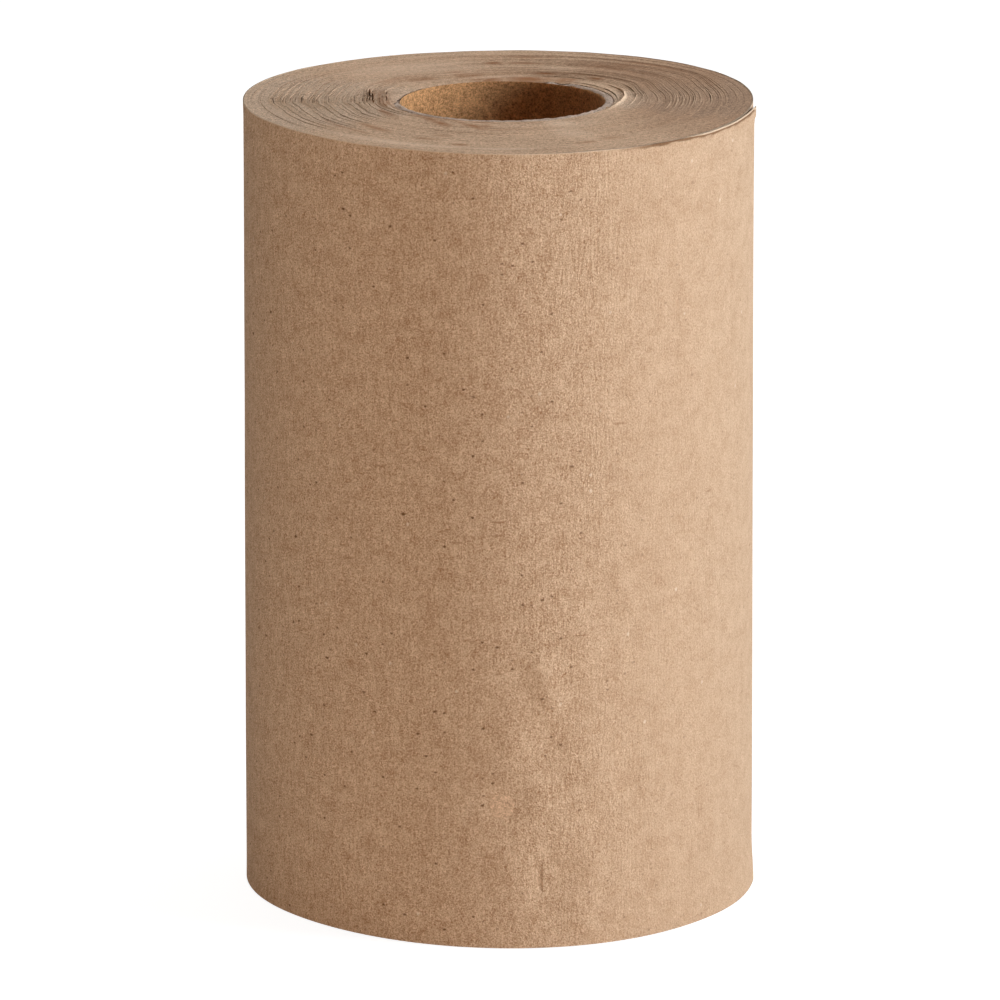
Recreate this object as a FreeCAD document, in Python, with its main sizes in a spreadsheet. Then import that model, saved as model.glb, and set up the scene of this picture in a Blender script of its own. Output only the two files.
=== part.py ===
import FreeCAD, Part
import Sketcher
import math
import os

# Paper towel roll, standing on its end. Millimetres.
# +Z runs up the roll's axis and the origin is the middle of its lower end.
# Angles are seen from above, from +X towards +Y. The web is wound that way too, so its free end,
# the tail, lies over the lap below it.

DIMENSIONS = {
    "web_width": (200.0, "width of the paper web, and so the height of the standing roll"),
    "roll_diameter": (127.6, "across the outermost lap where it is still tight"),
    "out_of_round": (1.2, "how far the soft roll's three lobes stand proud of its circle"),
    "lobe_angle": (44.0, "degrees, direction of the first lobe"),
    "core_bore": (50.8, "bore of the cardboard tube, two inches"),
    "core_wall": (2.2, "wall of the cardboard tube"),
    "glue_line": (0.1, "radial clearance between the tube and the first turn"),
    "lap_thickness": (0.45, "step in radius from one outer lap to the next"),
    "tail_angle": (-3.0, "degrees, where the web ends"),
    "loose_angle": (62.0, "degrees of the last lap that stand free of the lap below"),
    "slit_root": (0.12, "gap under the last lap where it starts to lift"),
    "tail_lift": (0.55, "how much wider that gap is at the tail"),
    "flat_band": (5.0, "width of the level outer turns that the roll rests on"),
    "turn_relief": (0.6, "depth of the lowest turns below the end of the roll"),
    "upper_bands": (14, "bands of turns that have crept to one height, on the upper end"),
    "lower_bands": (6, "the same on the lower end"),
    "buckle_width": (0.7, "widest opening between turns that have buckled apart"),
    "buckle_depth": (3.0, "how far such an opening reaches into the roll"),
}

# Openings between buckled turns, on each end: the direction of its middle in degrees, its half
# length in degrees, and how far out it lies from the first turn (0) to the last one (1).
TOP_BUCKLES = [
    (180, 15, 0.05), (184, 24, 0.17), (176, 20, 0.54), (180, 25, 0.61), (177, 18, 0.715),
    (8, 18, 0.085), (4, 15, 0.18), (12, 27, 0.39), (-2, 20, 0.52), (4, 21, 0.72),
]
BOTTOM_BUCKLES = [
    (190, 17, 0.07), (172, 22, 0.30), (181, 24, 0.57), (5, 19, 0.11), (-6, 23, 0.44), (9, 18, 0.68),
]

OVERSHOOT = 1.0  # how far a cutting profile stands past the solid, so that nothing is left on it
ARC_TURN = 20.0  # degrees, about as far as one arc of the outline goes round

doc = FreeCAD.newDocument("paper_towel_roll")
sheet = doc.addObject("Spreadsheet::Sheet", "dims")


def fill_sheet():
    """Write each driving dimension with its alias and its meaning."""
    for row, (name, (value, meaning)) in enumerate(DIMENSIONS.items(), start=1):
        sheet.set("A%d" % row, name)
        sheet.set("B%d" % row, str(value))
        sheet.setAlias("B%d" % row, name)
        sheet.set("C%d" % row, meaning)
    doc.recompute()


def size(name):
    """A driving dimension, as the sheet holds it."""
    return float(getattr(sheet, name))


def polar(radius, degrees):
    """A point of a sketch at a radius and a direction from the roll's axis."""
    turn = math.radians(degrees)
    return FreeCAD.Vector(radius * math.cos(turn), radius * math.sin(turn), 0)


def origin_plane(body, role):
    """One of the body's own origin planes."""
    return next(plane for plane in body.Origin.OriginFeatures if plane.Role == role)


def new_sketch(body, name, role):
    """An empty sketch on one of the body's origin planes."""
    sketch = body.newObject("Sketcher::SketchObject", name)
    sketch.AttachmentSupport = [(origin_plane(body, role), "")]
    sketch.MapMode = "FlatFace"
    return sketch


def add_circle(sketch, radius_rule):
    """A circle about the origin whose radius follows the sheet."""
    circle = sketch.addGeometry(Part.Circle(FreeCAD.Vector(), FreeCAD.Vector(0, 0, 1), 10.0), False)
    sketch.addConstraint(Sketcher.Constraint("Coincident", circle, 3, -1, 1))
    radius = sketch.addConstraint(Sketcher.Constraint("Radius", circle, 10.0))
    sketch.setExpression("Constraints[%d]" % radius, radius_rule)


def add_line(sketch, start, end):
    sketch.addGeometry(Part.LineSegment(start, end), False)


def add_arc(sketch, start, middle, end):
    sketch.addGeometry(Part.Arc(start, middle, end), False)


def add_curve(sketch, start, end, radius_at):
    """A curve about the axis, from one angle to another, at a radius given by a rule, in arcs."""
    arcs = max(1, round(abs(end - start) / ARC_TURN))
    angles = [start + (end - start) * half / (2 * arcs) for half in range(2 * arcs + 1)]
    points = [polar(radius_at(angle), angle) for angle in angles]
    for arc in range(arcs):
        add_arc(sketch, *points[2 * arc:2 * arc + 3])


def pad_web_width(body, sketch, name):
    """Raise a sketch from the lower end of the roll to its upper end."""
    pad = body.newObject("PartDesign::Pad", name)
    pad.Profile = sketch
    pad.setExpression("Length", "dims.web_width")
    return pad


def make_core_tube():
    """Spiral-wound cardboard tube, cut flush with both ends of the paper."""
    body = doc.addObject("PartDesign::Body", "core_tube")
    section = new_sketch(body, "core_section", "XY_Plane")
    add_circle(section, "dims.core_bore / 2")
    add_circle(section, "dims.core_bore / 2 + dims.core_wall")
    pad_web_width(body, section, "core_wall_pad")
    return body


def paper_inner_radius():
    return size("core_bore") / 2 + size("core_wall") + size("glue_line")


def paper_outer_radius():
    return size("roll_diameter") / 2


def lobe(degrees):
    """How far the soft roll stands out of its circle in one direction. Its width stays the same."""
    return size("out_of_round") * math.cos(3 * math.radians(degrees - size("lobe_angle")))


def draw_wound_outline(sketch):
    """The outermost lap, which climbs by its thickness in one turn, its loose end and the slit.

    The lap starts just past the tail, one thickness lower, and goes round until it lies over its
    own start. Its last stretch lifts off the lap below by the square of the way to the tail."""
    lap = size("lap_thickness")
    tail = size("tail_angle")
    root = tail - size("loose_angle")

    def outer_face(degrees):
        """The lap's outer face without any lift, one turn before the tail (0) to the tail (1)."""
        turn = (degrees - tail + 360) / 360
        return paper_outer_radius() - lap * (1 - turn) + lobe(degrees)

    def loose_face(degrees):
        way = max(0.0, (degrees - root) / (tail - root))
        return outer_face(degrees) + size("tail_lift") * way ** 2

    def under_face(degrees):
        return loose_face(degrees) - lap + size("slit_root")

    def lap_below(degrees):
        return outer_face(degrees) - lap

    add_curve(sketch, tail - 360, root, outer_face)
    add_curve(sketch, root, tail, loose_face)
    add_line(sketch, polar(loose_face(tail), tail), polar(under_face(tail), tail))
    add_curve(sketch, tail, root, under_face)
    add_line(sketch, polar(under_face(root), root), polar(lap_below(root), root))
    add_curve(sketch, root, tail, lap_below)


def crept_bands(count, shift):
    """Outer radius and depth of each band of turns on one end of the paper, from the tube outwards.

    Widths and depths are uneven, as where a log of paper has been sawn and its turns have crept.
    Every other band lies low, and so do those nearest the tube."""
    first = paper_inner_radius()
    span = paper_outer_radius() - size("flat_band") - first
    bands = []
    for band in range(1, count + 1):
        shuffle = 0.25 * math.sin(2.4 * band + shift) if band < count else 0.0
        uneven = 0.5 + 0.5 * math.sin(1.7 * band + shift)
        low = 0.45 if (count - band) % 2 == 0 else 0.0
        near_core = (1 - band / count) ** 2
        depth = size("turn_relief") * (0.1 + low + 0.25 * uneven + 0.2 * near_core)
        bands.append((first + span * (band + shuffle) / count, depth))
    return bands


def groove_end(body, name, end_height, inward, count, shift):
    """Turn the bands of one end into the solid: inward is -1 on the upper end and 1 on the lower."""
    start = paper_inner_radius() - OVERSHOOT
    clear = end_height - inward * OVERSHOOT
    corners = [FreeCAD.Vector(start, clear, 0)]
    for end, depth in crept_bands(count, shift):
        level = end_height + inward * depth
        corners.append(FreeCAD.Vector(start, level, 0))
        corners.append(FreeCAD.Vector(end, level, 0))
        start = end
    corners.append(FreeCAD.Vector(start, clear, 0))
    profile = new_sketch(body, name + "_profile", "XZ_Plane")
    for corner, following in zip(corners, corners[1:] + corners[:1]):
        add_line(profile, corner, following)
    groove = body.newObject("PartDesign::Groove", name)
    groove.Profile = profile
    groove.ReferenceAxis = (profile, ["V_Axis"])
    groove.Angle = 360
    doc.recompute()
    return groove


def open_buckles(body, name, buckles, on_top):
    """Cut the crescent openings between turns that have buckled apart on one end.

    The outer side of each opening keeps its curve and the inner side has sagged inwards."""
    sketch = new_sketch(body, name + "_crescents", "XY_Plane")
    if on_top:
        sketch.setExpression(".AttachmentOffset.Base.z", "dims.web_width")
    first = paper_inner_radius() + size("buckle_width")
    span = paper_outer_radius() - size("flat_band") / 2 - first
    for direction, half_length, way_out in buckles:
        radius = first + span * way_out
        start = polar(radius + way_out * lobe(direction - half_length), direction - half_length)
        end = polar(radius + way_out * lobe(direction + half_length), direction + half_length)
        middle = radius + way_out * lobe(direction)
        add_arc(sketch, start, polar(middle, direction), end)
        add_arc(sketch, start, polar(middle - size("buckle_width"), direction), end)
    pocket = body.newObject("PartDesign::Pocket", name)
    pocket.Profile = sketch
    pocket.setExpression("Length", "dims.buckle_depth")
    pocket.Reversed = not on_top
    doc.recompute()
    return pocket


def make_paper_roll():
    """The wound paper: one continuous web whose turns lie tight on each other, as one solid."""
    body = doc.addObject("PartDesign::Body", "paper_roll")
    section = new_sketch(body, "wound_outline", "XY_Plane")
    draw_wound_outline(section)
    add_circle(section, "dims.core_bore / 2 + dims.core_wall + dims.glue_line")
    steps = [pad_web_width(body, section, "wound_web")]
    doc.recompute()
    steps.append(groove_end(body, "upper_turns", size("web_width"), -1, int(size("upper_bands")), 0.0))
    steps.append(groove_end(body, "lower_turns", 0.0, 1, int(size("lower_bands")), 1.9))
    steps.append(open_buckles(body, "upper_buckles", TOP_BUCKLES, True))
    steps.append(open_buckles(body, "lower_buckles", BOTTOM_BUCKLES, False))
    return body, steps


def check_cuts(steps):
    """Each cut takes some paper away, so none of them may leave the volume as it was."""
    volumes = [step.Shape.Volume for step in steps]
    for step, before, after in zip(steps[1:], volumes, volumes[1:]):
        if not after < before:
            raise RuntimeError("%s cuts nothing" % step.Name)


def check_document():
    for item in doc.Objects:
        if "Invalid" in item.State or "Error" in item.State:
            raise RuntimeError("%s failed: %s" % (item.Name, item.State))


def export(body, label):
    """Write one sub-part as a solid in the roll's frame."""
    body.Label = label
    shape = body.Shape
    if shape.isNull() or not shape.isValid() or len(shape.Solids) != 1:
        raise RuntimeError("%s is not one valid solid" % label)
    shape.exportStep("parts/%s.step" % label)
    print(label, "volume", round(shape.Volume), "mm3, box", shape.BoundBox)


fill_sheet()
core_tube = make_core_tube()
paper_roll, paper_steps = make_paper_roll()
doc.recompute()
check_document()
check_cuts(paper_steps)
os.makedirs("parts", exist_ok=True)
export(core_tube, "core_tube")
export(paper_roll, "paper_roll")
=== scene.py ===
import math
import bpy
import numpy as np
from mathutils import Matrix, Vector, noise


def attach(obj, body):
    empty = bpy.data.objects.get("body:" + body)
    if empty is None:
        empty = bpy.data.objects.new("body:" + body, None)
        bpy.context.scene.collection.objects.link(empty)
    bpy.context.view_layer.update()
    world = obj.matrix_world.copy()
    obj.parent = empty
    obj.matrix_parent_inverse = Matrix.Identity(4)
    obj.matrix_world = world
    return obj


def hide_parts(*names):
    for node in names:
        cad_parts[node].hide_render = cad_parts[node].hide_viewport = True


# A brown paper towel roll, standing on its end. Sizes in this file are millimetres and degrees,
# turned into metres where a mesh is made. Directions are seen from above, from +X towards +Y.
# Only the floor, the lamps and the camera are placed in metres.

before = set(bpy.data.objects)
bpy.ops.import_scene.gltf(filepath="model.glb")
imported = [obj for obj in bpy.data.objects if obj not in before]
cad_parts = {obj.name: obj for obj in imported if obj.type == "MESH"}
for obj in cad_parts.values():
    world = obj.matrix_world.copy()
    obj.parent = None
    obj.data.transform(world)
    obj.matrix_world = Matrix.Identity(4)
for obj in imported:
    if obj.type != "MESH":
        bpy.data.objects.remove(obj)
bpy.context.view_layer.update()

MM = 0.001

# Driving sizes, the same as in the roll's construction
WEB_WIDTH = 200.0
OUTER_RADIUS = 63.8
BORE_RADIUS = 25.4
TUBE_RADIUS = 27.6
PAPER_RADIUS = 27.7
OUT_OF_ROUND = 1.2
LOBE_ANGLE = 44.0
LAP = 0.45
TAIL = -3.0
LOOSE_ANGLE = 62.0

# How the web and the tube lie
SHEET = 0.26            # thickness of the outer lap as it is drawn
TUCK = 78.0             # how far the lap below the tail goes on under the outer lap
HAIR = 0.03             # clearance between two turns that lie tight
TAIL_LIFT = 0.1         # how far the loose lap stands off at the tail's upper corner
PRESSED = 0.40          # how far the roll is pressed in on the side of the tail
CREEP = 0.28            # how far the tube and its first turns have crept up, on average
CREEP_TILT = 0.26       # how much further they have crept up in front, and less behind
OVERHANG = 2.2          # how far the first turns lean in over the tube at most
TUBE_DROP = 0.35        # how far the tube's cut edge would lie below the flush end without creep

# How finely the meshes are divided
END_COLUMNS = 290
TUBE_COLUMNS = 240
WRAP_STEP = 1.2         # degrees between two columns of the outer lap
UPPER_SPACING = 2.0     # widest stretch without a crease on the upper end
LOWER_SPACING = 4.5     # the same on the lower end
LEAST_SPACING = 0.34    # narrowest stretch between two creases
RISE_STEP = 0.004       # least distance along the radius between two rings of an end

# Where turns on the upper end bulge outwards (plus) or sag inwards (minus): directions between
# which the bulge starts, is full, holds and ends, the same for its radii, and how far it goes.
BULGES = [
    ((18, 37, 46, 95), (30, 36, 55, 62), 2.4),
    ((-22, 46, 56, 110), (27.7, 28.6, 31, 38), 4.3),
    ((105, 138, 148, 169), (30, 36, 50, 61), 1.5),
    ((112, 140, 150, 178), (27.7, 28.8, 33, 38), 2.9),
    ((172, 178, 183, 189), (42, 46, 55, 61), 0.35),
    ((184, 190, 197, 206), (34, 38, 55, 61), -0.6),
    ((186, 222, 262, 310), (27.7, 31.5, 33, 38), -1.1),
]

# Openings between turns of the upper end: the wound radius that they follow, the direction of
# their middle, their half length, and their width, depth and the lift of the turns outside them.
OPENINGS = [
    (28.05, 26, 32, 0.36, 2.5, 0.15),
    (28.70, 166, 15, 0.60, 3.0, 0.30),
    (28.75, 4, 34, 0.24, 1.5, 0.50),
    (29.60, 62, 22, 0.18, 1.0, 0.10),
    (29.90, -4, 34, 0.14, 0.6, 0.34),
    (30.40, 192, 27, 0.30, 2.0, 0.30),
    (31.10, 226, 32, 0.20, 1.2, 0.12),
    (31.75, 10, 25, 0.24, 1.6, 0.30),
    (31.40, 170, 13, 0.36, 2.2, 0.30),
    (32.20, 172, 20, 0.75, 4.0, 0.45),
    (32.90, 168, 15, 0.60, 3.0, 0.40),
    (33.60, 175, 12, 0.36, 2.0, 0.30),
    (34.60, 176, 12, 0.26, 1.4, 0.22),
    (36.70, 202, 22, 0.16, 0.8, 0.10),
    (36.90, 4, 22, 0.12, 0.7, 0.12),
    (39.90, -2.5, 4.5, 0.30, 2.0, 0.05),
    (41.40, 6, 20, 0.20, 1.2, 0.14),
    (41.40, 180.5, 4, 0.22, 1.4, 0.05),
    (43.10, 167, 6, 0.24, 1.2, 0.20),
    (45.60, -3.5, 3, 0.24, 1.2, 0.05),
    (46.30, 181, 21, 0.16, 0.8, 0.16),
    (47.80, 184, 23, 0.26, 1.3, 0.18),
    (49.50, 182, 23, 0.26, 1.2, 0.18),
    (50.30, 2, 14, 0.06, 0.4, 0.06),
    (50.60, 183, 27, 0.32, 1.5, 0.20),
    (53.10, 6, 17, 0.16, 1.0, 0.12),
    (53.70, 186, 20, 0.32, 1.7, 0.18),
    (54.60, 176, 13, 0.14, 0.7, 0.14),
]

# Fine ripples of the upper end: wound radii from, to and their spacing, the direction of their
# middle, their half length, and their width, depth and lift.
RIPPLES = [
    (42.3, 49.4, 0.9, 1, 12, 0.09, 0.30, 0.09),
    (42.0, 49.2, 0.55, 184, 19, 0.14, 0.60, 0.12),
    (33.5, 41.4, 0.70, 184, 24, 0.12, 0.50, 0.10),
    (50.9, 57.0, 0.60, 180, 20, 0.12, 0.50, 0.10),
    (33.2, 40.3, 1.3, 0, 14, 0.04, 0.15, 0.05),
]

# The same two tables for the lower end, which is plainer
LOW_OPENINGS = [
    (29.9, 190, 17, 0.45, 3.0, 0.10),
    (31.5, 5, 19, 0.40, 2.5, 0.10),
    (38.1, 172, 22, 0.40, 2.5, 0.10),
    (43.0, -6, 23, 0.40, 2.5, 0.10),
    (47.4, 181, 24, 0.35, 2.5, 0.10),
    (51.1, 9, 18, 0.35, 2.5, 0.10),
]
LOW_RIPPLES = [(40.0, 46.0, 1.5, 20, 40, 0.12, 0.4, 0.06)]

# Brown stains of the upper end: the direction of their middle, their half length, their radius,
# how much it grows for each degree, their half width, and how strong they are.
STAINS = [
    (82, 8, 55.4, 0, 1.3, 0.9),
    (52, 16, 55.2, 0, 1.2, 0.55),
    (83, 6, 47.6, 0, 0.8, 1.0),
    (93, 3, 48.0, 0, 1.3, 1.0),
    (56, 4, 51.0, 0, 0.9, 0.8),
    (54, 18, 47.0, 0, 5.5, 0.5),
    (92, 12, 37.4, 0, 0.6, 0.8),
    (109, 5, 37.2, 0, 0.9, 0.7),
    (72, 6, 32.6, 0, 1.5, 1.0),
    (50, 5, 31.6, 0, 1.0, 1.0),
    (105, 8, 32.8, 0, 1.6, 0.8),
    (129, 9, 31.2, 0, 2.0, 0.8),
    (77, 14, 28.2, 0, 0.8, 1.0),
    (98, 12, 28.0, 0, 0.6, 0.9),
    (58, 8, 28.3, 0, 0.7, 0.9),
    (60, 26, 34.5, 0, 1.5, 0.5),
    (-126, 22, 28.0, 0, 1.5, 1.0),
    (-121, 13, 33.2, 0.26, 1.3, 1.0),
    (-105, 13, 33.4, 0.37, 1.2, 1.0),
    (-128, 16, 30.6, 0, 0.9, 0.8),
    (-97, 4, 35.5, 0, 2.4, 0.7),
    (-84, 18, 37.0, 0, 0.9, 0.6),
    (-112, 5, 50.0, 0, 0.8, 0.9),
    (-101, 3, 54.2, 0, 0.9, 0.9),
    (-109, 4, 45.0, 0, 1.6, 0.6),
    (-134, 10, 46.2, 0.15, 1.2, 0.8),
    (-68, 4, 54.0, 0, 1.2, 0.7),
    (-59, 5, 52.0, 0, 2.2, 0.5),
    (-98, 9, 29.2, 0, 0.9, 0.9),
    (-84, 5, 28.4, 0, 1.2, 1.0),
    (-75, 6, 29.0, 0, 0.7, 0.6),
    (-150, 14, 34.0, 0.15, 1.2, 0.8),
    (-140, 14, 51.5, 0.1, 0.8, 0.8),
    (175, 26, 30.5, 0, 2.5, 0.6),
    (192, 24, 29.0, 0, 1.3, 0.9),
    (140, 14, 34.0, 0, 3.0, 0.4),
]

# Pale patches of the upper end, told in the same way
PALE = [
    (-64, 8, 33.0, 0.1, 4.0, 0.7),
    (-67, 7, 42.5, 0.3, 6.0, 0.5),
    (-118, 24, 57.5, 0, 2.2, 0.7),
    (-90, 10, 58.5, 0, 1.6, 0.6),
    (-54, 7, 35.0, 0, 2.0, 0.3),
    (120, 26, 48.0, 0, 9.0, 0.6),
    (70, 8, 40.0, 0, 2.4, 0.5),
    (150, 22, 36.0, 0, 3.0, 0.5),
    (128, 16, 29.4, 0, 1.0, 0.6),
    (90, 20, 30.2, 0, 1.0, 0.6),
]

# Dents (minus) and folds (plus) of the outer lap: direction, height, half width, half length,
# lean of their upper end and how far they go.
DENTS = [
    (-90.0, 36.3, 3.8, 4.0, 0.0, -0.60),
    (-78.8, 48.4, 2.8, 7.0, -20, -0.75),
    (-62.0, 40.8, 2.4, 5.4, -25, -1.30),
    (-88.1, 52.9, 2.8, 6.0, 0.0, 0.42),
    (-68.5, 32.4, 2.6, 3.6, 0.0, -1.40),
    (-70.2, 20.1, 3.6, 5.0, 0.0, 1.07),
    (-57.0, 18.3, 3.2, 4.2, 0.0, -1.60),
    (-80.7, 67.8, 2.6, 8.0, -15, 1.00),
    (-80.0, 17.6, 4.0, 5.0, 0.0, -1.12),
    (-72.0, 6.5, 2.4, 6.0, -45, 0.96),
    (-62.0, 88.0, 2.8, 7.0, -20, 0.54),
    (-72.0, 78.0, 2.8, 7.0, -10, 0.54),
    (-45.0, 30.0, 6.0, 9.0, -15, -1.02),
    (-81.6, 37.8, 2.4, 2.4, 30, 0.60),
    (-87.3, 21.5, 3.0, 4.0, 0.0, 0.30),
    (-70.0, 45.0, 3.0, 6.0, -15, 0.44),
]

# The photo's camera, fitted to the rims of the roll
CAMERA_PLACE = (0.00319, -2.4, 0.6952)
CAMERA_PITCH = 13.978   # degrees down from level
CAMERA_TURN = 0.00159   # radians to the left
CAMERA_LENS = 355.58


# Shape of the wound paper

def cos_deg(degrees):
    return np.cos(np.radians(degrees))


def sin_deg(degrees):
    return np.sin(np.radians(degrees))


def ramp(value, start, end):
    """A smooth step from 0 at start to 1 at end."""
    way = np.clip((value - start) / (end - start), 0.0, 1.0)
    return way * way * (3 - 2 * way)


def window(value, start, full, hold, end):
    """A smooth rise from start to full, and a smooth fall from hold to end."""
    return ramp(value, start, full) * (1 - ramp(value, hold, end))


def around(degrees, middle):
    """The same direction, told within half a turn of another one."""
    return (degrees - middle + 180) % 360 - 180 + middle


def smooth_noise(x, y, z):
    return noise.noise(Vector((x, y, z)))


def noise_field(degrees, level, turns_scale, level_scale, seed):
    """Noise on a ring for each direction and each level, without a seam.

    The scales say how fine it is round the ring and across the levels, and the seed tells one
    field from another."""
    directions, levels = np.broadcast_arrays(degrees, level)
    field = np.empty(directions.shape)
    for place, (turn, height) in enumerate(zip(directions.ravel(), levels.ravel())):
        x = turns_scale * math.cos(math.radians(turn)) + seed
        y = turns_scale * math.sin(math.radians(turn))
        field.flat[place] = smooth_noise(x, y, height * level_scale + 3.7 * seed)
    return field


def lobe(degrees):
    return OUT_OF_ROUND * cos_deg(3 * (degrees - LOBE_ANGLE))


def lap_face(degrees):
    """Outer face of the last lap without any lift. A turn further back is one lap thickness lower.

    On the side of the tail the roll has been pressed a little flat."""
    pressed = PRESSED * window(around(degrees, -3), -42, -8, 6, 40)
    return OUTER_RADIUS - LAP * (TAIL - degrees) / 360 + lobe(degrees) - pressed


def creep(degrees, radius):
    """How far the tube and the turns round it have crept up out of the roll, most of all in front."""
    return (CREEP - CREEP_TILT * sin_deg(degrees)) * (1 - ramp(radius, 28, 46))


def overhang(degrees):
    """How far the first turns lean in over the edge of the tube, which they do on the far side."""
    ragged = 0.5 * noise_field(degrees, 0.0, 8.0, 1.0, 3.0)
    lean = window(around(degrees + 24 * ragged, 125), 54, 76, 170, 194)
    return OVERHANG * lean * np.clip(1 + 0.7 * ragged, 0.45, 1.0)


def side_shares(degrees):
    """How far a direction belongs to the cleanly cut zones on the right and on the left."""
    right = window(around(degrees, 2), -28, -12, 14, 34)
    left = window(around(degrees, 182), 136, 157, 207, 226)
    return right, left


def bulge(degrees, level):
    """How far a turn of the upper end lies outside its place, by its wound radius."""
    total = np.zeros(np.broadcast(degrees, level).shape)
    for directions, radii, push in BULGES:
        middle = (directions[1] + directions[2]) / 2
        total = total + push * window(around(degrees, middle), *directions) * window(level, *radii)
    return total


def rim_radius(degrees):
    """Outside of the wound turns, just under the outer lap or, below the loose lap, under two."""
    here = around(degrees, TAIL - 180)
    under_one = lap_face(here) - SHEET - HAIR
    below_two = lap_face(here - 360) - SHEET - HAIR
    tucked = ramp(here, TAIL - TUCK - 6, TAIL - TUCK)
    return under_one + (below_two - under_one) * tucked


def carried_radius(degrees, level):
    """A wound radius, moved with the rim: not at all at the tube, and fully at the rim."""
    way = (level - PAPER_RADIUS) / (OUTER_RADIUS - PAPER_RADIUS)
    return level + way * (rim_radius(degrees) - OUTER_RADIUS)


def upper_radius(degrees, level):
    """Where a turn lies on the upper end, by its wound radius."""
    calm = window(level, PAPER_RADIUS, 32, 56, 62)
    wobble = 0.35 * noise_field(degrees, level, 1.6, 0.12, 5.0) * calm
    kinks = 0.30 * noise_field(degrees, level, 13.0, 0.5, 11.0) * calm * side_shares(degrees)[1]
    return carried_radius(degrees, level) + bulge(degrees, level) + wobble + kinks


def lower_radius(degrees, level):
    """Where a turn lies on the lower end, by its wound radius."""
    calm = window(level, PAPER_RADIUS, 33, 56, 62)
    return carried_radius(degrees, level) + 0.8 * noise_field(degrees, level, 1.4, 0.1, 9.0) * calm


# Meshes

def make_piece(name, points, faces, material, replaced, smooth_angle):
    """A closed mesh from points in millimetres, which stands for one of the model's solids."""
    mesh = bpy.data.meshes.new(name)
    mesh.from_pydata([tuple(point) for point in points * MM], [], faces)
    mesh.validate()
    piece = bpy.data.objects.new(name, mesh)
    bpy.context.scene.collection.objects.link(piece)
    mesh.polygons.foreach_set("use_smooth", [True] * len(mesh.polygons))
    mesh.set_sharp_from_angle(angle=math.radians(smooth_angle))
    mesh.materials.append(material)
    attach(piece, "root")
    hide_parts(replaced)
    return piece


def store_places(piece, name, places):
    """Keep three values for each point of a piece, for its material to read."""
    attribute = piece.data.attributes.new(name, "FLOAT_VECTOR", "POINT")
    attribute.data.foreach_set("vector", np.asarray(places, dtype=np.float32).ravel())


def evenly_round(columns):
    return np.arange(columns) * 360.0 / columns


def ring_faces(rows, columns):
    """Faces of a grid that closes round its columns, and from its last row to its first."""
    faces = []
    for row in range(rows):
        following = (row + 1) % rows
        for column in range(columns):
            beside = (column + 1) % columns
            faces.append((row * columns + column, row * columns + beside,
                          following * columns + beside, following * columns + column))
    return faces


def sheet_faces(rows, columns):
    """Faces of a thin sheet from two equal grids: its outside, its inside and its edges."""
    count = rows * columns
    faces = []
    for row in range(rows - 1):
        for column in range(columns - 1):
            corner = row * columns + column
            face = (corner, corner + 1, corner + columns + 1, corner + columns)
            faces.append(face)
            faces.append(tuple(count + point for point in reversed(face)))
    edge = list(range(columns))
    edge += [row * columns + columns - 1 for row in range(1, rows)]
    edge += [(rows - 1) * columns + column for column in range(columns - 2, -1, -1)]
    edge += [row * columns for row in range(rows - 2, 0, -1)]
    for here, following in zip(edge, edge[1:] + edge[:1]):
        faces.append((following, here, here + count, following + count))
    return faces


def lathe_points(directions, radius, height):
    """Points of a grid, one row for each ring, from its radii and heights."""
    points = np.stack([radius * cos_deg(directions), radius * sin_deg(directions), height], axis=-1)
    return points.reshape(-1, 3)


# Upper and lower end of the wound turns

def end_levels(openings, ripples, spacing):
    """Wound radii of the creases of one end, with an even spread where nothing else is."""
    last = OUTER_RADIUS - 1.0
    marked = [opening[0] for opening in openings]
    for start, end, step, *_ in ripples:
        marked.extend(np.arange(start, end, step))
    marked.extend(np.arange(PAPER_RADIUS + spacing, last, spacing))
    kept = []
    for level in sorted(marked):
        if not kept or level - kept[-1] > LEAST_SPACING:
            kept.append(float(level))
    return [level for level in kept if level < last]


def crescent(degrees, middle, half_length):
    """1 in the middle of an opening, falling to 0 at its two ends."""
    way = (around(degrees, middle) - middle) / half_length
    return np.clip(1 - way * way, 0.0, 1.0)


def ripple_creases(level, ripples):
    """The ripples at one wound radius, told like openings. Sines make each one a little different."""
    found = []
    for start, end, _, middle, half, width, depth, lift in ripples:
        if start - 0.2 < level < end + 0.2:
            shifted = middle + 6 * math.sin(level * 7.1)
            length = half * (0.75 + 0.35 * math.sin(level * 11.3))
            wide = width * (1 + 0.5 * math.sin(level * 5.7))
            high = lift * (1 + 0.6 * math.sin(level * 3.9))
            found.append((level, shifted, length, wide, depth, high))
    return found


def crease(degrees, level, openings, ripples):
    """Width, depth and lift of the crease at one wound radius, for each direction."""
    width = np.full(degrees.shape, 0.03)
    depth = np.full(degrees.shape, 0.04)
    lift = np.zeros(degrees.shape)
    ragged = np.clip(0.8 + 1.3 * noise_field(degrees, level, 15.0, 1.3, 2.0), 0.15, 2.0)
    found = [opening for opening in openings if abs(opening[0] - level) < 0.18]
    for _, middle, half, wide, deep, high in found + ripple_creases(level, ripples):
        reach = crescent(degrees, middle, half)
        width = np.maximum(width, wide * reach * ragged)
        depth = np.maximum(depth, deep * np.sqrt(reach) * ragged)
        lift = np.maximum(lift, high * reach * np.minimum(ragged + 0.3, 1.3))
    return width, depth, lift


def patches_at(directions, level, places):
    """How far each direction at one wound radius lies in one of some patches."""
    share = np.zeros(directions.shape)
    for middle, half, radius, growth, spread, strength in places:
        middle_line = radius + growth * (around(directions, middle) - middle)
        across = np.exp(-((level - middle_line) / spread) ** 2)
        share = np.maximum(share, strength * across * crescent(directions, middle, half))
    return share


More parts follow.
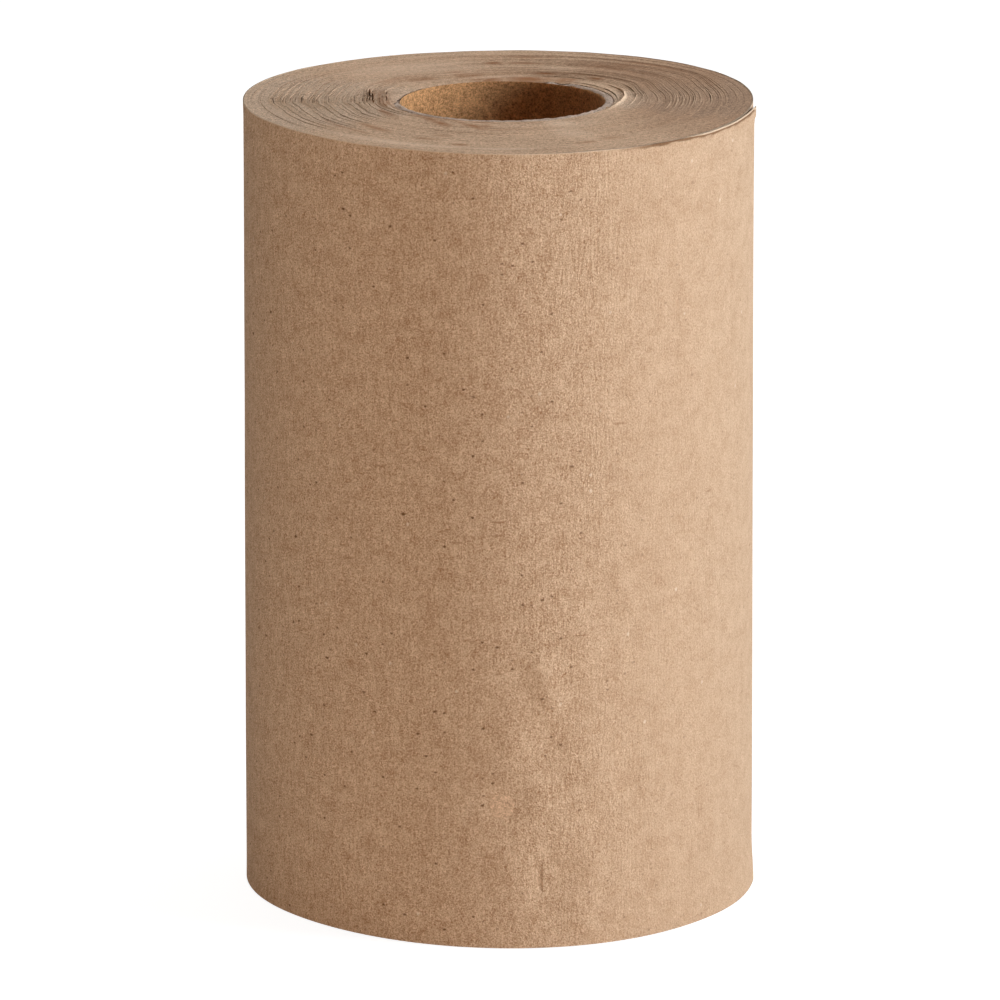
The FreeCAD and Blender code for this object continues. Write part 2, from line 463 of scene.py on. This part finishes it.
def end_finish(directions, level):
    """How cleanly the turns of the upper end are cut, how stained they are, and their painted shade."""
    ragged = 9 * noise_field(directions, level, 3.0, 0.3, 8.0)
    clean = np.maximum(*side_shares(directions + ragged))
    stain = patches_at(directions, level, STAINS)
    # Painted shade: the upper end is darkened on its right side, away from the tube
    right_side_shade = window(around(directions + ragged, 10), -62, -8, 24, 80) * ramp(level, 29, 39)
    return clean, stain, right_side_shade


def band_height(directions, number, middle, end_height, inward, relief, seed):
    """Height of the turns between two creases. Bands differ most on the left, least at the rim."""
    near_tube = max(0.0, 1 - (middle - PAPER_RADIUS) / 9)
    off_rim = 1 - ramp(middle, OUTER_RADIUS - 6, OUTER_RADIUS - 1.5)
    right, left = side_shares(directions)
    rough = 0.12 + 0.88 * np.maximum(0.4 * right, left)
    uneven = relief * (0.5 + 0.5 * math.sin(2.3 * number + seed)) * off_rim * rough
    ripple = 0.22 * noise_field(directions, middle, 1.3, 0.25, seed) * off_rim
    height = end_height + inward * (0.1 + uneven + 0.25 * near_tube) + ripple
    if inward < 0:
        height = height + creep(directions, middle)
    return height


def turns_end(directions, openings, ripples, spacing, radius_at, end_height, inward, relief, seed):
    """Rings of one end, from the tube outwards: radii, heights, wound radii and marks.

    Inward is the way into the roll, -1 on the upper end. A mark is above 0 where the turns
    outside a crease are lifted, which the material paints with a highlight, and -1 on the floor of
    a crease, which it paints with shade."""
    rows = []
    start = PAPER_RADIUS
    inner_edge = np.full(directions.shape, PAPER_RADIUS)
    lift = np.zeros(directions.shape)
    for number, level in enumerate(end_levels(openings, ripples, spacing) + [OUTER_RADIUS]):
        top = band_height(directions, number, (start + level) / 2, end_height, inward, relief, seed)
        inner_height = top - inward * lift
        if number == 0 and inward < 0:
            leaning = overhang(directions)
            inner_height = inner_height - 0.3 * np.minimum(leaning, 1.0)
            rows.append((inner_edge, inner_height - 0.06, start, 0.0))
            inner_edge = inner_edge - leaning
        # This mark sets the painted highlight on the lifted turns' edges
        lifted_highlight = lift / 0.3
        if level < OUTER_RADIUS:
            centre = radius_at(directions, level)
            width, depth, lift = crease(directions, level, openings, ripples)
        else:
            centre = rim_radius(directions)
            width = np.zeros(directions.shape)
        outer_edge = centre - width / 2
        within = inner_edge + 0.4 * (outer_edge - inner_edge)
        eased = top + (inner_height - top) * 0.35
        rows.append((inner_edge, inner_height, start, lifted_highlight))
        rows.append((within, eased, start + 0.4 * (level - start), lifted_highlight * 0.5))
        rows.append((outer_edge, top + inward * 0.03, level, 0.0))
        if level < OUTER_RADIUS:
            for share in (0.2, 0.8):
                rows.append((outer_edge + share * width, top + inward * depth, level, -1.0))
        start = level
        inner_edge = centre + width / 2
    return in_order(directions, rows, 1 if inward < 0 else 0)


def in_order(directions, rows, first):
    """Rows as grids, with each ring kept outside the one before it, from the first that has to be."""
    grids = []
    for part in zip(*rows):
        grids.append(np.array([np.broadcast_to(values, directions.shape) for values in part]))
    radius = grids[0]
    steps = np.arange(len(rows) - first)[:, None] * RISE_STEP
    radius[first:] = np.maximum.accumulate(radius[first:] - steps, axis=0) + steps
    return grids


def side_rings(directions):
    """Rings under the outer lap: radii, heights and wound radii, from the foot up."""
    heights = np.array([10.0, 60.0, 100.0, 150.0, 190.0])[:, None]
    radius = np.broadcast_to(rim_radius(directions), (len(heights), len(directions)))
    return radius, np.broadcast_to(heights, radius.shape), np.full(radius.shape, OUTER_RADIUS)


def store_turns_finish(piece, directions, wound, upper_marks, lower_marks):
    """Keep how the turns of both ends are cut and coloured, with where painted shade and painted
    highlights go.
    """
    turns = np.broadcast_to(directions, wound.shape)
    store_places(piece, "wound", np.stack([cos_deg(turns), sin_deg(turns), wound * 0.1], axis=-1))
    sawn = np.zeros((*wound.shape, 3))
    edges = np.zeros((*wound.shape, 3))
    upper = len(upper_marks)
    for row in range(upper):
        level = float(wound[row, 0])
        sawn[row] = np.stack(end_finish(directions, level), axis=-1)
        edges[row, :, 2] = patches_at(directions, level, PALE)
    # Channel 0 sets the painted highlight on lifted turns, channel 1 the painted shade on crease floors
    edges[:upper, :, 0] = np.clip(upper_marks, 0.0, 1.0)
    edges[:upper, :, 1] = np.clip(-upper_marks, 0.0, 1.0)
    edges[-len(lower_marks):, :, 1] = np.clip(-lower_marks[::-1], 0.0, 1.0)
    store_places(piece, "sawn", sawn)
    store_places(piece, "edges", edges)


def make_turns(material):
    """The wound web: all the turns inside the outer lap, as one closed mesh."""
    directions = evenly_round(END_COLUMNS)
    top = turns_end(directions, OPENINGS, RIPPLES, UPPER_SPACING, upper_radius, WEB_WIDTH, -1, 0.16, 0.0)
    low = turns_end(directions, LOW_OPENINGS, LOW_RIPPLES, LOWER_SPACING, lower_radius, 0.0, 1, 0.3, 1.9)
    side = side_rings(directions)
    radius, height, wound = [
        np.concatenate([upper, middle[::-1], lower[::-1]])
        for upper, middle, lower in zip(top, side, low)]
    points = lathe_points(directions, radius, height)
    faces = [face[::-1] for face in ring_faces(len(radius), END_COLUMNS)]
    piece = make_piece("wound_turns", points, faces, material, "paper_roll", 35)
    store_turns_finish(piece, directions, wound, top[3], low[3])


# The outer lap with its loose end

def wall_relief(degrees, height):
    """Soft waves and dents of the outer lap, in millimetres along its radius."""
    xs, ys, heights = np.broadcast_arrays(cos_deg(degrees), sin_deg(degrees), height)
    relief = np.empty(xs.shape)
    for place, (x, y, z) in enumerate(zip(xs.ravel(), ys.ravel(), heights.ravel())):
        slow = smooth_noise(2.2 * x + 4, 2.2 * y, z * 0.008)
        quick = smooth_noise(5.5 * x, 5.5 * y + 8, z * 0.03)
        relief.flat[place] = 0.16 * slow + 0.05 * quick
    for middle, level, half_width, half_length, lean, push in DENTS:
        sideways = np.radians(around(degrees, middle) - middle) * OUTER_RADIUS
        upwards = height - level
        across = (sideways * cos_deg(lean) - upwards * sin_deg(lean)) / half_width
        along = (sideways * sin_deg(lean) + upwards * cos_deg(lean)) / half_length
        relief = relief + push * np.exp(-across * across - along * along)
    return relief * ramp(height, 0.0, 5.0) * (1 - ramp(height, WEB_WIDTH - 4, WEB_WIDTH - 0.5))


def lip_flare(degrees, height):
    """The sawn top edge of the loose lap stands off, most of all at the corner of the tail."""
    drop = WEB_WIDTH - height
    along = ramp(degrees, TAIL - 48, TAIL - 10)
    corner = ramp(degrees, TAIL - 16, TAIL - 1)
    return (0.22 * along + 0.16 * corner) * (1 - ramp(drop, 0.8 + 2.2 * corner, 1.5 + 2.4 * corner))


def lip_tint(degrees, drop):
    """The sawn top edge of the lap: a brown line on the right, which runs lower towards the tail and is
    a painted shadow under the flared lip, and pale above it and elsewhere, which is a painted highlight."""
    ragged = 1 + 0.9 * noise_field(degrees, 0.0, 22.0, 1.0, 6.0)
    upper = 0.45 * ramp(degrees, TAIL - 46, TAIL - 32)
    line = window(drop, upper - 0.15, upper, upper + 0.40 * ragged, upper + 0.75 * ragged)
    brown = line * window(degrees, TAIL - 66, TAIL - 50, TAIL - 6, TAIL)
    pale = (1 - ramp(drop, 0.1 + upper, 0.3 + upper)) * (1 - brown)
    return brown, pale


def foot_flare(degrees, height):
    """The pressed side fills out again towards the foot, the left side a little too, and the
    lower edge stands out on the right."""
    fuller = 1 - ramp(height, 0.0, 185.0)
    right = 0.50 * window(around(degrees, -3), -46, -10, 8, 40)
    left = 0.30 * window(around(degrees, -180), -226, -195, -165, -134)
    edge = 0.45 * window(around(degrees, -10), -45, -20, 5, 30) * (1 - ramp(height, 1.0, 12.0))
    return fuller * (right + left) + edge


def wrap_face(degrees, height):
    """Radius of the outer face of the lap at a place on it."""
    loose = np.clip((degrees - (TAIL - LOOSE_ANGLE)) / LOOSE_ANGLE, 0.0, 1.0)
    near_top = np.exp(-(WEB_WIDTH - height) / 3.0)
    lift = TAIL_LIFT * loose ** 2 * near_top
    outer = ramp(degrees, TAIL - 362, TAIL - 358)
    shape = wall_relief(degrees, height) + lip_flare(degrees, height) + foot_flare(degrees, height)
    return lap_face(degrees) + lift + shape * outer


def wrap_heights():
    """Rows of the lap, close together at both of its edges."""
    foot = [0.0, 0.2, 0.5, 0.9, 1.5, 2.3, 3.4, 5.0, 7.0]
    middle = list(np.arange(9.5, WEB_WIDTH - 9.0, 2.5))
    lip = [0.0, 0.12, 0.24, 0.34, 0.44, 0.54, 0.64, 0.8, 1.05, 1.4, 1.9, 2.6, 3.6, 5.0, 7.0]
    return np.array(foot + middle + [WEB_WIDTH - step for step in reversed(lip)])


def store_lap_finish(piece, turn_grid, height_grid, level_grid):
    """Keep the places on the laid-out sheet, and how its sawn edge and its sides are coloured, with the
    painted shadow and painted highlight of the sawn edge.
    """
    length = np.radians(turn_grid) * OUTER_RADIUS
    laid = np.stack([length * MM, level_grid * MM, np.zeros(length.shape)], axis=-1).reshape(-1, 3)
    inside_shift = np.array([0.0, 0.0, 0.3])
    store_places(piece, "laid", np.concatenate([laid, laid + inside_shift]))
    # The sawn edge's colour: a painted shadow under the lip and a painted highlight along its top
    brown, pale = lip_tint(turn_grid, WEB_WIDTH - height_grid)
    uneven = 1 - window(around(turn_grid, -20), -88, -52, 20, 80)
    lip = np.stack([brown, pale, uneven], axis=-1).reshape(-1, 3)
    store_places(piece, "lip", np.concatenate([lip, lip]))


def make_wrap(material):
    """The outer lap: a thin sheet which starts tucked under itself and ends in the loose tail."""
    start = TAIL - 360 - TUCK
    columns = int(round((TAIL - start) / WRAP_STEP)) + 1
    directions = np.linspace(start, TAIL, columns)
    heights = wrap_heights()
    turn_grid, height_grid = np.meshgrid(directions, heights)
    outer = wrap_face(turn_grid, height_grid)
    inner = outer - SHEET * np.clip((turn_grid - start) / 4.0, 0.15, 1.0)
    uneven_cut = 0.10 * noise_field(directions, 0.0, 7.0, 1.0, 4.0) - 0.05
    torn = 0.8 * ramp(turn_grid, TAIL - 7, TAIL)
    near_top = ramp(heights, WEB_WIDTH - 10, WEB_WIDTH)[:, None]
    level_grid = height_grid + (uneven_cut - torn) * near_top
    points = np.concatenate([lathe_points(turn_grid, face, level_grid) for face in (outer, inner)])
    faces = sheet_faces(len(heights), columns)
    piece = make_piece("outer_lap", points, faces, material, "paper_roll", 50)
    store_lap_finish(piece, turn_grid, height_grid, level_grid)


# The cardboard tube

def frayed(directions, seed, size):
    """How far the fuzz of a cut edge stands out at one ring."""
    return size * noise_field(directions, seed, 11.0, 1.0, seed)


def bore_rings(directions):
    """Radii and heights down the inside of the tube, with the ridge of its spiral seam."""
    rings = []
    drops = (0.5, 1.2, 2.5, 5, 8, 12, 16, 22, 30, 45)
    for height in [WEB_WIDTH - drop for drop in drops] + [100, 50, 20, 5, 1.0]:
        seam_at = 200 + height * 2.4
        seam = 0.12 * np.exp(-((around(directions, seam_at) - seam_at) / 1.6) ** 2)
        wave = 0.10 * noise_field(directions, height, 3.0, 0.05, 6.0)
        near_end = 1 if 1.0 < height < WEB_WIDTH - 0.6 else 0.3
        rings.append((BORE_RADIUS + (wave - seam) * near_end, height))
    return rings


def lower_cut_rings(directions):
    """The tube's cut edge at the foot, a hair above the floor."""
    rings = []
    for radius, rise in ((25.5, 0.25), (25.9, 0.05), (26.5, 0.0), (27.1, 0.05), (27.5, 0.25)):
        height = 0.05 + rise + frayed(directions, radius + 3, 0.05)
        rings.append((radius + frayed(directions, radius, 0.1), height))
    return rings


def upper_cut_rings(directions):
    """The cut edge that the photo shows, lower and smoother where the first turns cover it."""
    covered = np.minimum(overhang(directions), 1.0)
    cut = WEB_WIDTH - TUBE_DROP + creep(directions, 27.0) - 0.65 * covered
    fuzz = 1 - 0.7 * covered
    rings = []
    drops = ((27.5, 0.25), (27.15, 0.1), (26.8, 0.0), (26.4, 0.02), (26.0, 0.0), (25.6, 0.12))
    for radius, drop in drops:
        height = cut - drop + frayed(directions, radius + 7, 0.30) * fuzz
        rings.append((radius + frayed(directions, radius, 0.16), height))
    return rings


def make_tube(material):
    """Spiral-wound tube with a fuzzy cut edge at both ends."""
    directions = evenly_round(TUBE_COLUMNS)
    outside = [(TUBE_RADIUS, 1.0), (TUBE_RADIUS, WEB_WIDTH - 1.2)]
    rings = bore_rings(directions) + lower_cut_rings(directions) + outside + upper_cut_rings(directions)
    radius, height = [
        np.array([np.broadcast_to(values, directions.shape) for values in part])
        for part in zip(*rings)]
    points = lathe_points(directions, radius, height)
    faces = ring_faces(len(rings), TUBE_COLUMNS)
    make_piece("cardboard_tube", points, faces, material, "core_tube", 50)


# Materials

def new_material(name):
    material = bpy.data.materials.new(name)
    material.use_nodes = True
    material.node_tree.nodes.clear()
    return material


def add_node(tree, kind, sockets=None, **settings):
    """A node with its settings. A socket gets a link if it is given another node's output."""
    node = tree.nodes.new(kind)
    for name, value in settings.items():
        setattr(node, name, value)
    for key, value in (sockets or {}).items():
        if isinstance(value, bpy.types.NodeSocket):
            tree.links.new(value, node.inputs[key])
        else:
            node.inputs[key].default_value = value
    return node


def math_node(tree, operation, first, second=None, third=None):
    given = {key: value for key, value in enumerate((first, second, third)) if value is not None}
    return add_node(tree, "ShaderNodeMath", given, operation=operation).outputs[0]


def map_range(tree, value, from_low, from_high, to_low=0.0, to_high=1.0):
    sockets = {
        "Value": value, "From Min": from_low, "From Max": from_high, "To Min": to_low, "To Max": to_high}
    return add_node(tree, "ShaderNodeMapRange", sockets).outputs[0]


def scaled(tree, vector, scale):
    node = add_node(tree, "ShaderNodeVectorMath", {0: vector, 1: scale}, operation="MULTIPLY")
    return node.outputs[0]


def noise_value(tree, vector, scale, detail=2.0, roughness=0.5, distortion=0.0):
    sockets = {
        "Vector": vector, "Scale": scale, "Detail": detail, "Roughness": roughness,
        "Distortion": distortion}
    return add_node(tree, "ShaderNodeTexNoise", sockets).outputs[0]


def mix_values(tree, share, first, second):
    node = add_node(tree, "ShaderNodeMix", {0: share, 2: first, 3: second}, data_type="FLOAT")
    return node.outputs[0]


def mix_colour(tree, share, first, second, blend="MIX"):
    sockets = {0: share}
    for key, value in ((6, first), (7, second)):
        sockets[key] = value if isinstance(value, bpy.types.NodeSocket) else (*value, 1.0)
    return add_node(tree, "ShaderNodeMix", sockets, data_type="RGBA", blend_type=blend).outputs[2]


def tinted(tree, colour, share, strength, tint):
    """A colour with a tint over it where a share is high, as strong as the strength says."""
    return mix_colour(tree, math_node(tree, "MULTIPLY", share, strength), colour, tint)


def stored(tree, name):
    """What store_places has kept under a name."""
    return add_node(tree, "ShaderNodeAttribute", attribute_name=name).outputs["Vector"]


def parts_of(tree, vector):
    return add_node(tree, "ShaderNodeSeparateXYZ", {0: vector}).outputs


def specks(tree, vector, scale, share, size):
    """1 on small sparse spots: the cells of a grain whose random number is low."""
    cells = add_node(tree, "ShaderNodeTexVoronoi", {"Vector": vector, "Scale": scale, "Randomness": 1.0})
    number = add_node(tree, "ShaderNodeSeparateColor", {0: cells.outputs["Color"]}).outputs[0]
    chosen = math_node(tree, "LESS_THAN", number, share)
    near = map_range(tree, cells.outputs["Distance"], size, size * 0.5)
    return math_node(tree, "MULTIPLY", chosen, near)


def finish_paper(tree, colour, height, bump, roughness=0.9):
    """The paper's surface, matt, with a height field that stands out by the bump in metres."""
    normal = add_node(tree, "ShaderNodeBump", {"Height": height, "Distance": bump, "Strength": 1.0})
    shader = add_node(tree, "ShaderNodeBsdfPrincipled", {
        "Base Color": colour, "Roughness": roughness, "Specular IOR Level": 0.25,
        "Normal": normal.outputs[0]})
    add_node(tree, "ShaderNodeOutputMaterial", {"Surface": shader.outputs[0]})


def weighted_tone(tree, parts):
    """A tone round 0.5 from noise values, each with its weight."""
    tone = 0.5 - 0.5 * sum(weight for value, weight in parts)
    for value, weight in parts:
        tone = math_node(tree, "MULTIPLY_ADD", value, weight, tone)
    return tone


def add_specks(tree, colour, place, uneven_share):
    """Dark and pale flecks of fibre, of uneven shape and size."""
    warp = noise_value(tree, place, 2200.0, 1.0)
    warp_way = {0: (0.0006, 0.0006, 0.0), "Scale": warp}
    bent = add_node(tree, "ShaderNodeVectorMath", warp_way, operation="SCALE").outputs[0]
    moved = add_node(tree, "ShaderNodeVectorMath", {0: place, 1: bent}, operation="ADD").outputs[0]
    sparse = map_range(tree, uneven_share, 0.0, 1.0, 0.35, 1.0)
    small = specks(tree, scaled(tree, moved, (1.0, 1.4, 1.0)), 420.0, 0.11, 0.22)
    large = specks(tree, scaled(tree, moved, (0.7, 1.1, 1.0)), 240.0, 0.06, 0.13)
    strands = specks(tree, scaled(tree, moved, (0.30, 1.9, 1.0)), 330.0, 0.022, 0.20)
    pale = specks(tree, scaled(tree, moved, (1.2, 1.0, 1.0)), 330.0, 0.02, 0.2)
    colour = tinted(tree, colour, small, sparse, (0.19, 0.10, 0.05))
    colour = tinted(tree, colour, large, sparse, (0.17, 0.085, 0.04))
    colour = tinted(tree, colour, strands, 0.5, (0.26, 0.12, 0.05))
    return tinted(tree, colour, pale, 0.45, (0.9, 0.8, 0.66))


def kraft_wall():
    """Brown crepe towel paper: mottled fibres, fine upright crepe lines and dark specks."""
    material = new_material("kraft crepe paper")
    tree = material.node_tree
    laid = stored(tree, "laid")
    brown, pale, uneven_share = parts_of(tree, stored(tree, "lip"))
    grain = noise_value(tree, scaled(tree, laid, (1.0, 0.9, 1.0)), 2900.0, 1.0, 0.6, 0.8)
    fibres = noise_value(tree, scaled(tree, laid, (1.0, 0.9, 1.0)), 1050.0, 2.0, 0.65, 1.6)
    blotches = noise_value(tree, laid, 240.0, 1.0)
    clouds = noise_value(tree, laid, 90.0, 2.0, 0.6)
    crepe = noise_value(tree, scaled(tree, laid, (1.0, 0.12, 1.0)), 1500.0, 1.0)
    even = weighted_tone(tree, [(grain, 0.9), (fibres, 0.72), (blotches, 0.3), (clouds, 0.22)])
    uneven = weighted_tone(tree, [
        (grain, 2.1), (fibres, 1.45), (crepe, 0.5), (blotches, 0.45), (clouds, 0.2)])
    tone = mix_values(tree, uneven_share, even, uneven)
    colour = mix_colour(tree, tone, (0.36, 0.20, 0.105), (0.78, 0.585, 0.415))
    colour = add_specks(tree, colour, laid, uneven_share)
    # Painted shadow: a dark brown line under the flared lip. Painted highlight: a pale band along the
    # lap's top edge
    colour = tinted(tree, colour, brown, 0.9, (0.20, 0.10, 0.045))
    colour = tinted(tree, colour, pale, 0.6, (0.80, 0.64, 0.48))
    zones = noise_value(tree, scaled(tree, laid, (1.0, 0.35, 1.0)), 55.0)
    ridges = math_node(tree, "MULTIPLY", crepe, map_range(tree, zones, 0.35, 0.65, 0.5, 2.0))
    height = math_node(tree, "MULTIPLY_ADD", fibres, 2.2, ridges)
    height = math_node(tree, "MULTIPLY_ADD", grain, 1.3, height)
    finish_paper(tree, colour, height, 0.00018)
    return material


def kraft_end():
    """Sawn ends of the turns: clean fine lines on two sides, felt-like where the saw smeared them."""
    material = new_material("kraft turn ends")
    tree = material.node_tree
    wound = stored(tree, "wound")
    clean_share, stained, right_side_shade = parts_of(tree, stored(tree, "sawn"))
    lifted_highlight, crease_shade, pale = parts_of(tree, stored(tree, "edges"))
    place = add_node(tree, "ShaderNodeNewGeometry").outputs["Position"]
    lines = noise_value(tree, scaled(tree, wound, (1.6, 1.6, 26.0)), 1.0, 3.0, 0.7)
    fine = noise_value(tree, scaled(tree, wound, (5.0, 5.0, 60.0)), 1.0, 2.0, 0.7)
    streaks = noise_value(tree, scaled(tree, wound, (3.5, 3.5, 7.0)), 1.0, 4.0, 0.65)
    grain = noise_value(tree, place, 2600.0, 1.0, 0.6)
    felt = noise_value(tree, place, 900.0, 3.0, 0.6)
    patches = noise_value(tree, place, 55.0, 3.0, 0.55)
    smeared = weighted_tone(tree, [(grain, 1.6), (felt, 1.4), (streaks, 0.65), (patches, 0.4)])
    clean = weighted_tone(tree, [(grain, 1.9), (felt, 0.8), (lines, 0.7), (fine, 0.7), (patches, 0.3)])
    smeared_colour = mix_colour(tree, smeared, (0.33, 0.21, 0.13), (0.82, 0.58, 0.40))
    clean_colour = mix_colour(tree, clean, (0.27, 0.185, 0.13), (0.88, 0.66, 0.48))
    colour = mix_colour(tree, clean_share, smeared_colour, clean_colour)
    # Painted shade: grey darkening on the right side of the upper end
    colour = mix_colour(tree, right_side_shade, colour, (0.66, 0.59, 0.54), "MULTIPLY")
    # Painted highlight: pale cream on the lifted edges of turns
    colour = tinted(tree, colour, lifted_highlight, 0.6, (0.88, 0.66, 0.46))
    # Painted shade: dark brown on the floors of the creases
    colour = tinted(tree, colour, crease_shade, 0.8, (0.24, 0.12, 0.055))
    colour = tinted(tree, colour, pale, 0.5, (0.92, 0.72, 0.55))
    broken_stain = math_node(tree, "MULTIPLY", stained, map_range(tree, streaks, 0.36, 0.52))
    colour = tinted(tree, colour, broken_stain, 0.95, (0.30, 0.125, 0.045))
    height = math_node(tree, "MULTIPLY_ADD", felt, 0.6, lines)
    finish_paper(tree, colour, height, 0.00010, 0.95)
    return material


def core_board():
    """Cardboard: brown and fibrous inside, greyer on its cut edges."""
    material = new_material("core board")
    tree = material.node_tree
    geometry = add_node(tree, "ShaderNodeNewGeometry").outputs
    place = geometry["Position"]
    upright = math_node(tree, "ABSOLUTE", parts_of(tree, geometry["Normal"])["Z"])
    cut = map_range(tree, upright, 0.45, 0.85)
    grain = noise_value(tree, place, 2400.0, 1.0, 0.6)
    fibres = noise_value(tree, scaled(tree, place, (1.0, 1.0, 1.5)), 900.0, 3.0, 0.65)
    blotches = noise_value(tree, place, 200.0, 3.0, 0.6)
    tone = weighted_tone(tree, [(grain, 1.7), (fibres, 1.5), (blotches, 0.8)])
    inside = mix_colour(tree, tone, (0.29, 0.14, 0.052), (0.89, 0.495, 0.228))
    edge = mix_colour(tree, tone, (0.26, 0.195, 0.155), (0.68, 0.53, 0.43))
    finish_paper(tree, mix_colour(tree, cut, inside, edge), fibres, 0.00008, 0.85)
    return material


# Floor, background, lights and camera

def seen_by_camera(tree):
    """1 for the camera's rays, also after a reflection or through something clear."""
    path = add_node(tree, "ShaderNodeLightPath").outputs
    seen = math_node(tree, "MAXIMUM", path["Is Camera Ray"], path["Is Glossy Ray"])
    return math_node(tree, "MAXIMUM", seen, path["Is Transmission Ray"])


def mix_shaders(tree, share, first, second):
    sockets = {0: share, 1: first.outputs[0], 2: second.outputs[0]}
    return add_node(tree, "ShaderNodeMixShader", sockets)


def floor_material():
    """White paper sweep, which the camera sees as white with the roll's soft shadow. It is plain
    matt paper to all other light, and clear from below."""
    material = new_material("white floor")
    tree = material.node_tree
    matt = add_node(tree, "ShaderNodeBsdfDiffuse", {"Color": (0.32, 0.32, 0.32, 1)})
    white = add_node(tree, "ShaderNodeEmission", {"Color": (1, 1, 1, 1), "Strength": 0.91})
    shadowed = add_node(tree, "ShaderNodeAddShader", {0: matt.outputs[0], 1: white.outputs[0]})
    plain = add_node(tree, "ShaderNodeBsdfDiffuse", {"Color": (0.88, 0.84, 0.78, 1)})
    surface = mix_shaders(tree, seen_by_camera(tree), plain, shadowed)
    below = add_node(tree, "ShaderNodeNewGeometry").outputs["Backfacing"]
    clear = add_node(tree, "ShaderNodeBsdfTransparent")
    shown = mix_shaders(tree, below, surface, clear)
    add_node(tree, "ShaderNodeOutputMaterial", {"Surface": shown.outputs[0]})
    return material


def make_floor():
    """A wide floor, a hair below the roll's foot."""
    half = 4.0
    corners = [(-half, -half, 0), (half, -half, 0), (half, half, 0), (-half, half, 0)]
    mesh = bpy.data.meshes.new("floor")
    mesh.from_pydata(corners, [], [(0, 1, 2, 3)])
    floor = bpy.data.objects.new("floor", mesh)
    bpy.context.scene.collection.objects.link(floor)
    floor.location.z = -0.0002
    mesh.materials.append(floor_material())


def make_world():
    """A white background for the camera, and hardly any light on the roll from all around."""
    world = bpy.data.worlds.new("studio")
    world.use_nodes = True
    bpy.context.scene.world = world
    tree = world.node_tree
    tree.nodes.clear()
    fill = add_node(tree, "ShaderNodeBackground", {"Color": (1.0, 0.85, 0.72, 1), "Strength": 0.02})
    white = add_node(tree, "ShaderNodeBackground", {"Color": (1, 1, 1, 1), "Strength": 1.0})
    shown = mix_shaders(tree, seen_by_camera(tree), fill, white)
    add_node(tree, "ShaderNodeOutputWorld", {"Surface": shown.outputs[0]})


def aim(thing, target):
    thing.rotation_euler = (Vector(target) - thing.location).to_track_quat("-Z", "Y").to_euler()


def add_softbox(name, azimuth, elevation, distance, width, height, power, colour):
    """A soft lamp that looks at the roll's middle, from a direction told in degrees to the right
    of the camera and above the horizon."""
    lamp = bpy.data.lights.new(name, "AREA")
    lamp.shape = "RECTANGLE"
    lamp.size = width
    lamp.size_y = height
    lamp.energy = power
    lamp.color = colour
    holder = bpy.data.objects.new(name, lamp)
    bpy.context.scene.collection.objects.link(holder)
    middle = WEB_WIDTH / 2 * MM
    turn = math.radians(azimuth)
    rise = math.radians(elevation)
    holder.location = (distance * math.sin(turn) * math.cos(rise),
                       -distance * math.cos(turn) * math.cos(rise),
                       middle + distance * math.sin(rise))
    aim(holder, (0, 0, middle))
    holder.visible_camera = False


def make_lights():
    """The lamps: azimuth and elevation, distance and size in metres, power in watts and colour."""
    add_softbox("key", 77, 16, 1.6, 0.7, 1.0, 23.0, (0.96, 1.0, 1.04))
    add_softbox("high", 75, 27, 1.6, 0.3, 0.3, 3.8, (0.95, 1.0, 1.05))
    add_softbox("fill", -17, 2, 1.8, 1.2, 0.25, 12.5, (1.04, 0.82, 0.66))
    add_softbox("top", 180, 80, 1.6, 0.9, 0.9, 9.5, (1.0, 0.94, 0.88))
    add_softbox("back", 182, 10, 1.8, 1.2, 0.6, 5.0, (1.0, 0.96, 0.92))


def make_camera():
    data = bpy.data.cameras.new("camera")
    data.lens = CAMERA_LENS
    data.clip_start = 0.05
    data.clip_end = 50
    camera = bpy.data.objects.new("camera", data)
    bpy.context.scene.collection.objects.link(camera)
    camera.location = CAMERA_PLACE
    camera.rotation_euler = (math.radians(90 - CAMERA_PITCH), 0.0, CAMERA_TURN)
    bpy.context.scene.camera = camera


def main():
    bpy.context.scene.view_settings.view_transform = "Standard"
    make_camera()
    make_world()
    make_floor()
    make_lights()
    make_turns(kraft_end())
    make_wrap(kraft_wall())
    make_tube(core_board())
    bpy.context.view_layer.update()


main()
